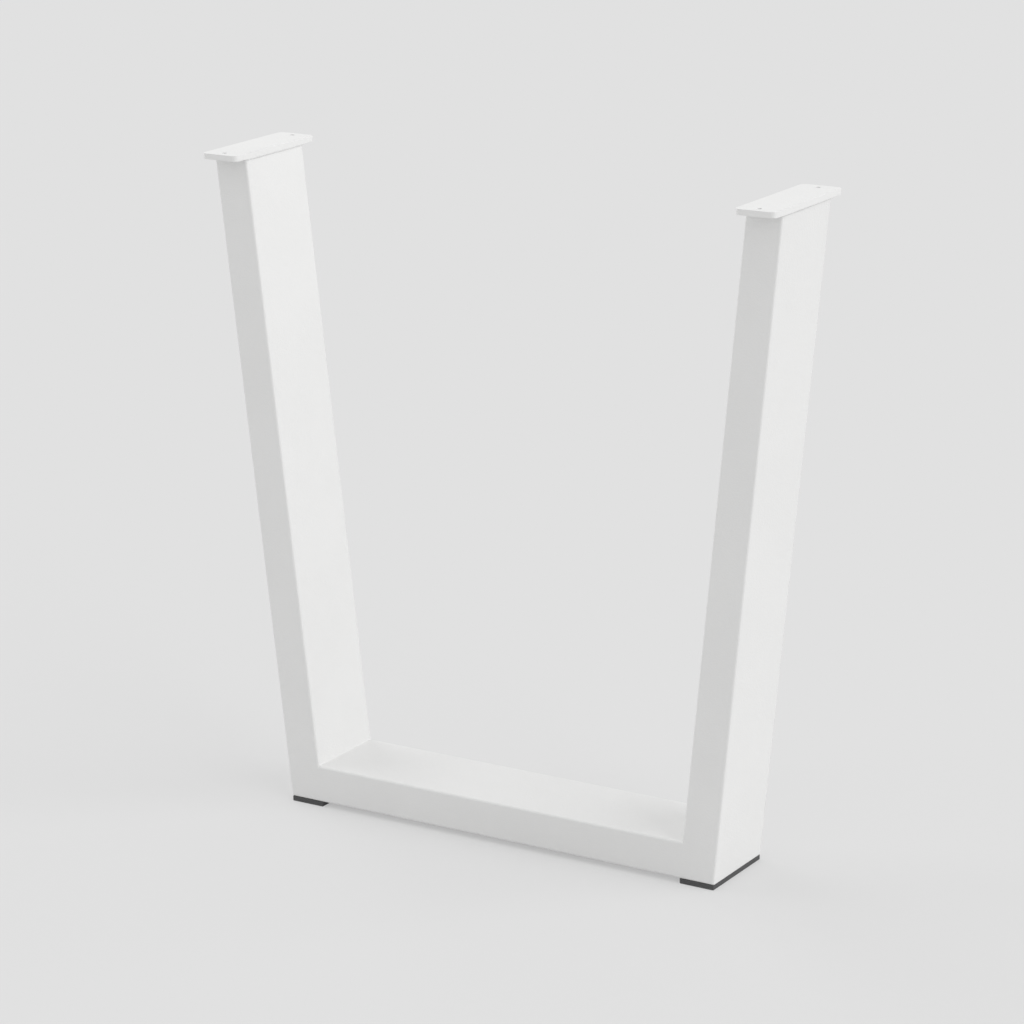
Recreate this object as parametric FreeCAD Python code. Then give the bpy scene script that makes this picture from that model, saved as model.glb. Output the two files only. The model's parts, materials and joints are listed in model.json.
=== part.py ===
# U-shaped table leg: a welded frame of rectangular steel tube, with a drilled plate on each post
# for the table top and a pad under each lower corner.
# Origin on the floor, midway between the pads. +X runs across the leg, +Y from the front face to
# the back face, +Z up. Sizes are in millimetres.
import FreeCAD
import Part
import os

Vector = FreeCAD.Vector

# Overall size
HEIGHT = 700.0  # floor to the plates' upper faces, where the table top rests
TOP_WIDTH = 660.0  # across the posts' outer faces at their upper ends
FOOT_WIDTH = 515.0  # across the frame's outer corners, just above the pads

# Rectangular tube
TUBE_FACE = 40.0  # narrow side, seen from the front
TUBE_DEPTH = 100.0  # wide side, front to back
TUBE_WALL = 2.0
TUBE_BEND = 0.5  # inside radius of the long edges; the outside radius is one wall more

# Mounting plates
PLATE_THICKNESS = 6.0
PLATE_OVERHANG = 20.0  # past the tube, at the front and at the back
PLATE_MARGIN = 2.0  # past the tube, along each side
PLATE_CORNER = 6.0  # radius of the upright corners
PLATE_EDGE_BREAK = 0.5  # chamfer round the upper face
HOLE_DIAMETER = 5.5
HOLE_SETBACK = 10.0  # hole centre from the end of the plate

# Fillet weld round each post's head
WELD_LEG = 1.8  # reach along the plate and down the tube

# Foot pads
PAD_THICKNESS = 5.5
PAD_INSET = 0.5  # clear of the tube's faces on all four sides
PAD_CORNER = 1.0  # radius of the upright corners
PAD_EDGE = 0.7  # rounding of the upper and lower edges

FRONT_TO_BACK = Vector(0, 1, 0)
UP = Vector(0, 0, 1)

frame_bottom = PAD_THICKNESS
frame_top = HEIGHT - PLATE_THICKNESS
tube_corner = TUBE_BEND + TUBE_WALL


def mirrored(point):
    """The matching point on the left half of the leg."""
    return Vector(-point.x, point.y, point.z)


# Centre plane of the right half: the post's outer line runs from foot_outer to head_outer
foot_outer = Vector(FOOT_WIDTH / 2, 0, frame_bottom)
head_outer = Vector(TOP_WIDTH / 2, 0, frame_top)
post_direction = (head_outer - foot_outer).normalize()
lean = post_direction.x / post_direction.z  # outward travel per unit of height
post_width = TUBE_FACE / post_direction.z  # the leaning tube measured level
head_inner = head_outer - Vector(post_width, 0, 0)
foot_inner = foot_outer + Vector(TUBE_FACE * lean - post_width, 0, TUBE_FACE)

# Centre lines of the three tubes
head_centre = (head_outer + head_inner) / 2
foot_centre = (foot_outer + foot_inner) / 2

plate_width = post_width + 2 * PLATE_MARGIN
plate_length = TUBE_DEPTH + 2 * PLATE_OVERHANG
hole_reach = plate_length / 2 - HOLE_SETBACK


def rounded_rectangle(size_x, size_y, radius):
    """A level face centred on the origin, with rounded corners."""
    block = Part.makeBox(size_x, size_y, 1, Vector(-size_x / 2, -size_y / 2, 0))
    upright = [edge for edge in block.Edges if abs(edge.tangentAt(edge.FirstParameter).z) > 0.5]
    rounded = block.makeFillet(radius, upright)
    return [face for face in rounded.Faces if face.CenterOfMass.z < 1e-6][0]


def tube_section():
    """Cross-section of the tube: X across the narrow side, Y from front to back."""
    bore_face = TUBE_FACE - 2 * TUBE_WALL
    bore_depth = TUBE_DEPTH - 2 * TUBE_WALL
    outside = rounded_rectangle(TUBE_FACE, TUBE_DEPTH, tube_corner)
    return outside.cut(rounded_rectangle(bore_face, bore_depth, TUBE_BEND)).Faces[0]


def draw_along(section, start, end):
    """The section set square to the line from start to end, drawn along it and past both ends."""
    direction = (end - start).normalize()
    across = FRONT_TO_BACK.cross(direction)
    spare = direction * TUBE_FACE
    section.Placement = FreeCAD.Placement(
        start - spare, FreeCAD.Rotation(across, FRONT_TO_BACK, direction, "ZXY")
    )
    return section.extrude(end - start + spare * 2)


def cut_tube(start, end, outline):
    """A tube whose centre line runs from start to end, with both ends cut on the outline's edges."""
    blank = draw_along(tube_section(), start, end)
    window = Part.Face(Part.makePolygon(outline + outline[:1]))
    window.translate(FRONT_TO_BACK * -TUBE_DEPTH)
    return blank.common(window.extrude(FRONT_TO_BACK * 2 * TUBE_DEPTH)).Solids[0]


def make_plate():
    """Mounting plate of the right post, its two holes in line with the tube's centre."""
    blank = rounded_rectangle(plate_width, plate_length, PLATE_CORNER).extrude(UP * PLATE_THICKNESS)
    upper_rim = [edge for edge in blank.Edges if edge.BoundBox.ZMin > PLATE_THICKNESS / 2]
    plate = blank.makeChamfer(PLATE_EDGE_BREAK, upper_rim)
    for y in (-hole_reach, hole_reach):
        plate = plate.cut(Part.makeCylinder(HOLE_DIAMETER / 2, PLATE_THICKNESS, Vector(0, y, 0)))
    plate.translate(head_centre)
    return plate.Solids[0]


def make_weld():
    """Bead all round the right post's head: a block that tapers from the plate into the tube's wall,
    with the tube taken out of it."""
    sink = TUBE_WALL / 2
    drop = WELD_LEG + sink
    upper = rounded_rectangle(
        post_width + 2 * WELD_LEG, TUBE_DEPTH + 2 * WELD_LEG, tube_corner + WELD_LEG
    )
    lower = rounded_rectangle(post_width - 2 * sink, TUBE_DEPTH - 2 * sink, tube_corner - sink)
    upper.translate(head_centre)
    lower.translate(head_centre - Vector(lean * drop, 0, drop))
    taper = Part.makeLoft([upper.OuterWire, lower.OuterWire], True, True)
    tube_body = draw_along(rounded_rectangle(TUBE_FACE, TUBE_DEPTH, tube_corner), foot_centre, head_centre)
    return taper.cut(tube_body).Solids[0]


def make_pad():
    """Pad under the right corner of the frame, with softened edges."""
    pad_width = TUBE_FACE - 2 * PAD_INSET
    pad_length = TUBE_DEPTH - 2 * PAD_INSET
    pad = rounded_rectangle(pad_width, pad_length, PAD_CORNER).extrude(UP * PAD_THICKNESS)
    rims = [edge for edge in pad.Edges if edge.BoundBox.ZLength < PAD_THICKNESS / 2]
    pad = pad.makeFillet(PAD_EDGE, rims)
    pad.translate(Vector(FOOT_WIDTH / 2 - PAD_INSET - pad_width / 2, 0, 0))
    return pad.Solids[0]


# Both tubes of a corner are cut on the mitre plane through foot_outer and foot_inner
past_corner = (foot_outer - foot_inner).normalize() * TUBE_FACE
past_face = Vector(TUBE_FACE, 0, 0)
mitre_low = foot_outer + past_corner
mitre_high = foot_inner - past_corner
post_outline = [mitre_low, head_outer + past_face, head_inner - past_face, mitre_high]
bar_outline = [mitre_low, mitre_high, mirrored(mitre_high), mirrored(mitre_low)]

right_side = {
    "post": cut_tube(foot_centre, head_centre, post_outline),
    "top_plate": make_plate(),
    "plate_weld": make_weld(),
    "foot_pad": make_pad(),
}
nodes = {"bottom_bar": cut_tube(mirrored(foot_centre), foot_centre, bar_outline)}
for name, shape in right_side.items():
    nodes["right_" + name] = shape
    nodes["left_" + name] = shape.mirror(Vector(0, 0, 0), Vector(1, 0, 0))

os.makedirs("parts", exist_ok=True)
for name, shape in nodes.items():
    shape.exportStep("parts/" + name + ".step")
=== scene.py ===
import json
import math

import bmesh
import bpy
from mathutils import Matrix, Vector


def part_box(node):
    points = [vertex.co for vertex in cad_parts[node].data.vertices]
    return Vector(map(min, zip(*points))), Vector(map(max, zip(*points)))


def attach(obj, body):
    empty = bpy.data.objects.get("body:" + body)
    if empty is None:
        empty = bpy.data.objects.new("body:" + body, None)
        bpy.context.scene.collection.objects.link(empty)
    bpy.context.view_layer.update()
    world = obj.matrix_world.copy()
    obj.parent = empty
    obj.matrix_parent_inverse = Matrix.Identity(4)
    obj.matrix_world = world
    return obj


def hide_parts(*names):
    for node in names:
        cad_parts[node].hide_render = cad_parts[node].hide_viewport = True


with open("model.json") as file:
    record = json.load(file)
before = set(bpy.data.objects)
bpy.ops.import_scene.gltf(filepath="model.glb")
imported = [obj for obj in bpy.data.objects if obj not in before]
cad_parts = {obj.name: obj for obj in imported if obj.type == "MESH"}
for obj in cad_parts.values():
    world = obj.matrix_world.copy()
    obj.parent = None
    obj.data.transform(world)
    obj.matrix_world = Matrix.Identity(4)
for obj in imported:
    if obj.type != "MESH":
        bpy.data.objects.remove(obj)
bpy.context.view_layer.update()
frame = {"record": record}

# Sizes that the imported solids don't give directly, in metres
TUBE_CORNER = 0.0025  # outside radius of the tube's long edges
GROUND_CORNER = 0.0012  # rounding left where the mitre welds are ground flush
CUT_EDGE = 0.0004  # softened saw cut at the posts' heads
PLATE_CORNER = 0.006  # radius of the plates' upright corners
PLATE_EDGE = 0.0005  # their edges, softened by the coating
PAD_CORNER = 0.001  # radius of the pads' upright corners
PAD_EDGE = 0.0007  # radius of their upper and lower edges
SHARP = 1.0  # radians; an edge that turns further than this is rounded
CORNER_STEPS = 6  # faces across a rounded corner of a tube or plate
HOLE_STEPS = 40  # faces round a screw hole

# Weld beads
BEAD_PITCH = 0.0026  # one ripple
BEAD_STEP = BEAD_PITCH / 8  # finest division along the bead
BEAD_ROWS = 6  # divisions across its face
BEAD_CORNER_STEPS = 12  # divisions round each corner of the tube
BEAD_CROWN = 0.06  # rise of the bead's face, as a share of its leg
BEAD_RIPPLE = 0.22  # height of a ripple, as a share of the leg
BEAD_LEAD = 0.4  # how far a ripple's middle runs ahead of its ends, in ripples

# The photograph's viewpoint
PHOTO_PIXELS = 1024
FOCAL_PIXELS = 3592.8
SENSOR = 36.0  # millimetres
AZIMUTH, ELEVATION, ROLL = 32.074, 16.018, -0.785  # degrees
AIM = Vector((-0.0056, 0.0, 0.3450))
DISTANCE = 3.6735

# Finishes: linear colours, and how many features of a pattern go to a metre
COAT_WHITE = (0.80, 0.80, 0.795, 1.0)
COAT_SHADE = (0.79, 0.79, 0.785, 1.0)
COAT_PEEL = 520.0
COAT_GRAIN = 2400.0
COAT_DRIFT = 14.0
COAT_ROUGHNESS = 0.46  # where it is smoothest
COAT_RELIEF = 0.0003  # depth of the peel and grain
RUBBER_DARK = (0.062, 0.062, 0.063, 1.0)
RUBBER_PALE = (0.11, 0.11, 0.11, 1.0)
RUBBER_GRAIN = 2600.0
RUBBER_CLOUD = 90.0
RUBBER_ROUGHNESS = 0.55
RUBBER_RELIEF = 0.00012  # depth of the grain
PALE_BAND_HEIGHT = 0.003  # metres above the floor
FLOOR_GREY = (0.70, 0.70, 0.70, 1.0)

# Studio
FLOOR_REACH = 14.0  # metres from the middle to each side
LAMPS = {  # where the light comes from, and its strength
    "right_diffuser": ((0.80, 0.08, 0.55), 1.36),
    "left_diffuser": ((-0.84, 0.05, 0.48), 1.12),
}
LAMP_SPREAD = 70.0  # degrees
WHITE_LIGHT = (1.0, 1.0, 1.0, 1.0)
GLOW = 0.655  # even light all round
BACKDROP = 0.752  # level of the floor and of what is seen past it
SHADOW_FILL = 0.55  # how far the shadows on the floor are lightened


class Wire:
    """A shader socket that takes part in arithmetic: each operation adds a Math node."""

    def __init__(self, tree, socket=None):
        self.tree = tree
        self.socket = socket

    def node(self, kind, settings=None, inputs=None, output=0):
        """Adds a node, applies its settings, sets or links its inputs, and gives one output."""
        made = self.tree.nodes.new("ShaderNode" + kind)
        for key, value in (settings or {}).items():
            setattr(made, key, value)
        for key, value in (inputs or {}).items():
            if isinstance(value, Wire):
                self.tree.links.new(value.socket, made.inputs[key])
            else:
                made.inputs[key].default_value = value
        return Wire(self.tree, made.outputs[output] if made.outputs else None)

    def math(self, operation, first, second):
        return self.node("Math", {"operation": operation}, {0: first, 1: second})

    def __add__(self, other):
        return self.math("ADD", self, other)

    __radd__ = __add__

    def __sub__(self, other):
        return self.math("SUBTRACT", self, other)

    def __rsub__(self, other):
        return self.math("SUBTRACT", other, self)

    def __mul__(self, other):
        return self.math("MULTIPLY", self, other)

    __rmul__ = __mul__

    def noise(self, place, scale, detail):
        return self.node("TexNoise", inputs={"Vector": place, "Scale": scale, "Detail": detail})

    def blend(self, share, first, second):
        """Mixes two colours."""
        return self.node("Mix", {"data_type": "RGBA"}, {0: share, 6: first, 7: second}, output=2)

    def rise(self, value, low, high):
        """0 below low, 1 above high, with a smooth step between."""
        settings = {"interpolation_type": "SMOOTHSTEP"}
        return self.node("MapRange", settings, {"Value": value, "From Min": low, "From Max": high})


def new_finish(name):
    """An empty material, and a wire to build it from."""
    material = bpy.data.materials.new(name)
    material.use_nodes = True
    material.node_tree.nodes.clear()
    return material, Wire(material.node_tree)


def powder_coat():
    """Satin white powder coat: soft orange peel over a fine grain, faintly uneven in tone and sheen."""
    material, start = new_finish("white_powder_coat")
    place = start.node("TexCoord", output="Object")
    peel = start.noise(place, COAT_PEEL, 1.0)
    grain = start.noise(place, COAT_GRAIN, 2.0)
    drift = start.noise(place, COAT_DRIFT, 3.0)
    relief = peel * 0.75 + grain * 0.25
    normal = start.node("Bump", inputs={"Strength": 0.8, "Distance": COAT_RELIEF, "Height": relief})
    surface = start.node("BsdfPrincipled", inputs={
        "Base Color": start.blend(start.rise(drift, 0.35, 0.65), COAT_WHITE, COAT_SHADE),
        "Roughness": COAT_ROUGHNESS + drift * 0.08 + grain * 0.08,
        "Normal": normal,
    })
    start.node("OutputMaterial", inputs={"Surface": surface})
    return material


def pad_rubber():
    """Dark moulded rubber: fine grain, and paler patches in the lowest few millimetres, towards the
    floor.
    """
    material, start = new_finish("dark_pad_rubber")
    place = start.node("TexCoord", output="Object")
    height = start.node("SeparateXYZ", inputs={"Vector": place}, output="Z")
    grain = start.noise(place, RUBBER_GRAIN, 3.0)
    cloud = start.noise(place, RUBBER_CLOUD, 4.0)
    # Lighter colour in patches within the pad's lowest few millimetres, next to the floor
    paler_near_floor = (1.0 - start.rise(height, 0.0, PALE_BAND_HEIGHT)) * start.rise(cloud, 0.45, 0.75)
    normal = start.node("Bump", inputs={"Strength": 0.6, "Distance": RUBBER_RELIEF, "Height": grain})
    surface = start.node("BsdfPrincipled", inputs={
        "Base Color": start.blend(paler_near_floor * 0.8 + cloud * 0.25, RUBBER_DARK, RUBBER_PALE),
        "Roughness": RUBBER_ROUGHNESS + cloud * 0.16,
        "Normal": normal,
    })
    start.node("OutputMaterial", inputs={"Surface": surface})
    return material


def seen_directly(start):
    """1 where the camera, a reflection or clear glass shows the surface, 0 where it only gives light."""
    rays = ("Is Camera Ray", "Is Glossy Ray", "Is Transmission Ray")
    camera, glossy, through = [start.node("LightPath", output=ray) for ray in rays]
    return start.math("MAXIMUM", camera, start.math("MAXIMUM", glossy, through))


def floor_finish():
    """Matt pale floor whose shadows are lightened."""
    material, start = new_finish("pale_floor")
    matt = start.node("BsdfDiffuse", inputs={"Color": FLOOR_GREY})
    lit = start.node("Emission", inputs={"Color": WHITE_LIGHT, "Strength": BACKDROP})
    surface = start.node("MixShader", inputs={0: seen_directly(start) * SHADOW_FILL, 1: matt, 2: lit})
    start.node("OutputMaterial", inputs={"Surface": surface})
    return material


COAT = powder_coat()
RUBBER = pad_rubber()

# Places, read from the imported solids
bar_low, bar_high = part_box("bottom_bar")
post_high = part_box("right_post")[1]
tube_face = bar_high.z - bar_low.z
half_depth = bar_high.y
lean = (post_high.x - bar_high.x) / (post_high.z - bar_low.z)
post_width = tube_face * math.hypot(1.0, lean)


def new_piece(name, bm, finish, slot, *nodes):
    """Turns a bmesh into a piece that stands for the given nodes."""
    mesh = bpy.data.meshes.new(name)
    bm.to_mesh(mesh)
    bm.free()
    mesh.materials.append(finish)
    mesh.shade_smooth()
    piece = bpy.data.objects.new(name, mesh)
    bpy.context.scene.collection.objects.link(piece)
    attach(piece, "root")
    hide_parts(*nodes)
    return piece


def even_shading(piece):
    """Large flat faces keep their own direction, and only the roundings between them shade softly."""
    normals = piece.modifiers.new("flat_faces", "WEIGHTED_NORMAL")
    normals.keep_sharp = False
    normals.weight = 100


def bevel(bm, geom, offset, segments, affect="EDGES"):
    """Rounds edges or corners."""
    bmesh.ops.bevel(bm, geom=geom, offset=offset, segments=segments, profile=0.5,
                    affect=affect, material=-1, clamp_overlap=True)


def edge_ring(bm, corners):
    """A closed ring of edges through the corners."""
    verts = [bm.verts.new(corner) for corner in corners]
    return [bm.edges.new(pair) for pair in zip(verts, verts[1:] + verts[:1])]


def rounded_outline(bm, low, high, radius, segments):
    """A level ring of edges round the box from low to high, with rounded corners."""
    ring = edge_ring(bm, [
        Vector((low.x, low.y, high.z)),
        Vector((high.x, low.y, high.z)),
        Vector((high.x, high.y, high.z)),
        Vector((low.x, high.y, high.z)),
    ])
    sheet = bmesh.ops.contextual_create(bm, geom=ring)["faces"][0]
    bevel(bm, sheet.verts[:], radius, segments, affect="VERTICES")
    rounded = bm.faces[:]
    outline = rounded[0].edges[:]
    bmesh.ops.delete(bm, geom=rounded, context="FACES_ONLY")
    return outline


def tube_ring(outer_x, outer_z, inner_x, inner_z):
    """The tube's four corners where it is cut."""
    return [
        Vector((outer_x, -half_depth, outer_z)),
        Vector((outer_x, half_depth, outer_z)),
        Vector((inner_x, half_depth, inner_z)),
        Vector((inner_x, -half_depth, inner_z)),
    ]


def welded_frame():
    """Both posts and the bar as one skin, as they are once the mitre welds are ground and coated."""
    inner_foot = bar_high.x + tube_face * lean - post_width
    head = (post_high.x, post_high.z, post_high.x - post_width, post_high.z)
    foot = (bar_high.x, bar_low.z, inner_foot, bar_high.z)
    left_head = (-head[0], head[1], -head[2], head[3])
    left_foot = (-foot[0], foot[1], -foot[2], foot[3])
    cuts = [left_head, left_foot, foot, head]
    bm = bmesh.new()
    weights = bm.edges.layers.float.new("bevel_weight_edge")
    rings = [edge_ring(bm, tube_ring(*cut)) for cut in cuts]
    long_edges = []
    for near, far in zip(rings, rings[1:]):
        bridged = bmesh.ops.bridge_loops(bm, edges=near + far)
        long_edges += bridged["edges"]
    bmesh.ops.holes_fill(bm, edges=rings[0] + rings[-1])
    bmesh.ops.recalc_face_normals(bm, faces=bm.faces)
    mitred = rings[1] + rings[2]
    across = [e for e in mitred if abs(e.verts[0].co.y - e.verts[1].co.y) > half_depth]
    for edge in long_edges:
        edge[weights] = 1.0
    for edge in across:
        edge[weights] = GROUND_CORNER / TUBE_CORNER
    for edge in rings[0] + rings[-1]:
        edge[weights] = CUT_EDGE / TUBE_CORNER
    piece = new_piece("welded_frame", bm, COAT, "powder_coat", "left_post", "bottom_bar", "right_post")
    rounding = piece.modifiers.new("tube_corners", "BEVEL")
    rounding.limit_method = "WEIGHT"
    rounding.width = TUBE_CORNER
    rounding.segments = CORNER_STEPS
    rounding.profile = 0.5
    even_shading(piece)


def mounting_plate(side):
    """Flat bar with rounded corners and two screw holes, its edges softened by the coating."""
    node = side + "_top_plate"
    low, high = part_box(node)
    mount = [m for m in frame["record"]["mounts"] if m["name"] == side + "_plate_holes"][0]
    hole_radius = mount["dims"]["hole_r_mm"] / 1000
    hole_reach = mount["dims"]["spacing_y_mm"] / 2000
    middle = (low + high) / 2
    bm = bmesh.new()
    rounded_outline(bm, low, high, PLATE_CORNER, CORNER_STEPS)
    for y in (-hole_reach, hole_reach):
        bmesh.ops.create_circle(bm, segments=HOLE_STEPS, radius=hole_radius, cap_ends=False,
                                matrix=Matrix.Translation((middle.x, y, high.z)))
    bmesh.ops.triangle_fill(bm, edges=bm.edges[:], use_beauty=True)
    grown = bmesh.ops.extrude_face_region(bm, geom=bm.faces[:])
    lowered = [v for v in grown["geom"] if isinstance(v, bmesh.types.BMVert)]
    bmesh.ops.translate(bm, verts=lowered, vec=(0.0, 0.0, low.z - high.z))
    bmesh.ops.recalc_face_normals(bm, faces=bm.faces)
    rims = [e for e in bm.edges if e.calc_face_angle(0.0) > SHARP]
    bevel(bm, rims, PLATE_EDGE, segments=3)
    even_shading(new_piece(side + "_mounting_plate", bm, COAT, "powder_coat", node))


def weld_bead(side):
    """Bead in the corner between a post's head and its plate: four rippled runs, each laid round one
    corner of the tube from the middle of one side to the middle of the next."""
    node = side + "_plate_weld"
    low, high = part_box(node)
    leg = high.z - low.z
    middle = (low.x + high.x) / 2
    tilt = lean if side == "right" else -lean
    bm = bmesh.new()
    rings = []
    for reach, drop in ((leg, 0.0), (0.0, leg), (0.0, 0.0)):
        centre = Vector((middle - tilt * drop, 0.0, high.z - drop))
        spread = Vector((post_width / 2 + reach, half_depth + reach, 0.0))
        corner = TUBE_CORNER + reach
        rings.append(rounded_outline(bm, centre - spread, centre + spread, corner, BEAD_CORNER_STEPS))
    on_plate, on_tube, root = rings
    bead_face = bmesh.ops.bridge_loops(bm, edges=on_plate + on_tube)
    bmesh.ops.bridge_loops(bm, edges=on_tube + root)
    bmesh.ops.bridge_loops(bm, edges=root + on_plate)
    bmesh.ops.subdivide_edges(bm, edges=bead_face["edges"], cuts=BEAD_ROWS - 1, use_grid_fill=True)
    for tube_side in (post_width, 2 * half_depth):
        straight = tube_side - 2 * TUBE_CORNER
        steps = round(straight / BEAD_STEP)
        runs = [e for e in bm.edges if abs(e.calc_length() - straight) < BEAD_STEP / 10]
        bmesh.ops.subdivide_edges(bm, edges=runs, cuts=steps - 1, use_grid_fill=True)
    bmesh.ops.recalc_face_normals(bm, faces=bm.faces)
    bm.normal_update()
    for vert in bm.verts:
        drop = high.z - vert.co.z
        share = drop / leg
        along = abs(vert.co.x - middle + tilt * drop) - abs(vert.co.y)
        bow = 4 * share * (1 - share)
        ripple = abs(math.sin(math.pi * (along / BEAD_PITCH + bow * BEAD_LEAD)))
        vert.co += vert.normal * leg * bow * (BEAD_CROWN + BEAD_RIPPLE * ripple)
    new_piece(side + "_weld_bead", bm, COAT, "powder_coat", node)


def foot_pad(side):
    """Moulded pad with rounded corners and edges."""
    node = side + "_foot_pad"
    low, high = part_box(node)
    size = high - low
    bm = bmesh.new()
    bmesh.ops.create_cube(bm, size=1.0, matrix=Matrix.LocRotScale((low + high) / 2, None, size))
    upright = [e for e in bm.edges if abs(e.verts[0].co.z - e.verts[1].co.z) > size.z / 2]
    bevel(bm, upright, PAD_CORNER, segments=4)
    sharp = [e for e in bm.edges if e.calc_face_angle(0.0) > SHARP]
    rims = [e for e in sharp if abs(e.verts[0].co.z - e.verts[1].co.z) < size.z / 2]
    bevel(bm, rims, PAD_EDGE, segments=4)
    even_shading(new_piece(side + "_pad", bm, RUBBER, "pad_rubber", node))


welded_frame()
for side in ("left", "right"):
    mounting_plate(side)
    weld_bead(side)
    foot_pad(side)


def broad_lamp(name, comes_from, strength):
    """Even light from one side, soft as a large diffuser a long way off."""
    data = bpy.data.lights.new(name, "SUN")
    data.energy = strength
    data.angle = math.radians(LAMP_SPREAD)
    light = bpy.data.objects.new(name, data)
    light.rotation_euler = Vector(comes_from).to_track_quat("Z", "Y").to_euler()
    bpy.context.scene.collection.objects.link(light)


def studio():
    """Pale floor, soft light from both sides, and an even glow all round."""
    bm = bmesh.new()
    bmesh.ops.create_grid(bm, x_segments=1, y_segments=1, size=FLOOR_REACH)
    mesh = bpy.data.meshes.new("floor")
    bm.to_mesh(mesh)
    bm.free()
    mesh.materials.append(floor_finish())
    floor = bpy.data.objects.new("floor", mesh)
    bpy.context.scene.collection.objects.link(floor)
    for name, (comes_from, strength) in LAMPS.items():
        broad_lamp(name, comes_from, strength)
    world = bpy.data.worlds.new("studio")
    world.use_nodes = True
    world.node_tree.nodes.clear()
    start = Wire(world.node_tree)
    glow = start.node("Background", inputs={"Color": WHITE_LIGHT, "Strength": GLOW})
    backdrop = start.node("Background", inputs={"Color": WHITE_LIGHT, "Strength": BACKDROP})
    surface = start.node("MixShader", inputs={0: seen_directly(start), 1: glow, 2: backdrop})
    start.node("OutputWorld", inputs={"Surface": surface})
    bpy.context.scene.world = world


def photo_camera():
    """The camera, where the photograph was taken from."""
    data = bpy.data.cameras.new("photo_camera")
    data.sensor_fit = "HORIZONTAL"
    data.sensor_width = SENSOR
    data.lens = FOCAL_PIXELS * SENSOR / PHOTO_PIXELS
    turn = (
        Matrix.Rotation(math.radians(AZIMUTH), 3, "Z")
        @ Matrix.Rotation(math.radians(90.0 - ELEVATION), 3, "X")
        @ Matrix.Rotation(math.radians(ROLL), 3, "Z")
    )
    camera = bpy.data.objects.new("photo_camera", data)
    camera.matrix_world = Matrix.Translation(AIM + turn.col[2] * DISTANCE) @ turn.to_4x4()
    bpy.context.scene.collection.objects.link(camera)
    bpy.context.scene.camera = camera


studio()
photo_camera()
bpy.context.scene.view_settings.view_transform = "Standard"
